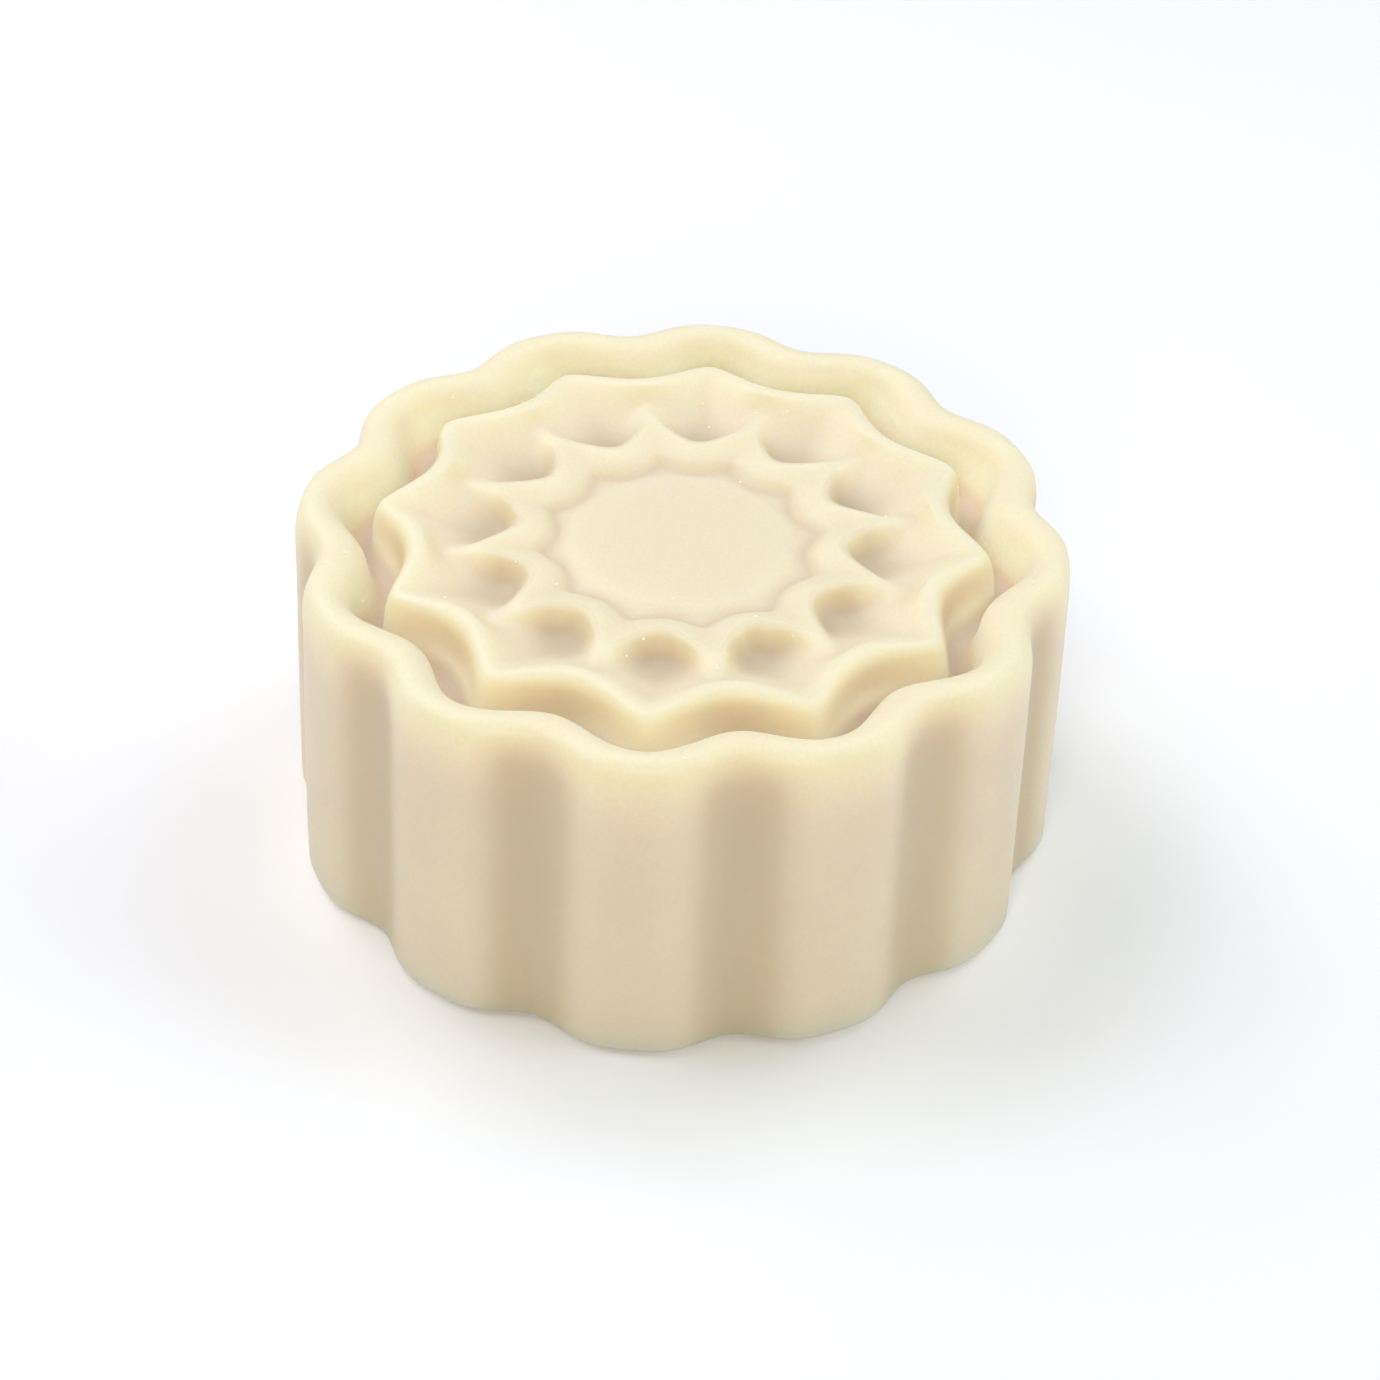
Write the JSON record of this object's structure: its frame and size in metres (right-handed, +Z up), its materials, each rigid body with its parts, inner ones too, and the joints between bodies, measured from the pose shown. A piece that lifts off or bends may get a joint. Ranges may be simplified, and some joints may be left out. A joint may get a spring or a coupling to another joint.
{
  "type": "shaving soap puck",
  "caption": "Round cast soap cake with a scalloped side and a flower relief of wavy rings on its top face, for loading a shaving brush.",
  "frame": {"origin": "centre of the flat base, on the surface the puck stands on", "axes": "+Z up along the puck's round axis, out of the relief face; a lobe of the side faces -Y"},
  "size_m": [0.076, 0.076, 0.0335],
  "materials": {
    "soap": "cream hard soap, waxy and slightly translucent, with a soft satin sheen"
  },
  "bodies": {
    "root": {"base_core": "soap", "scalloped_wall": "soap", "star_collar": "soap", "inner_crown": "soap", "centre_button": "soap"}
  },
  "joints": []
}
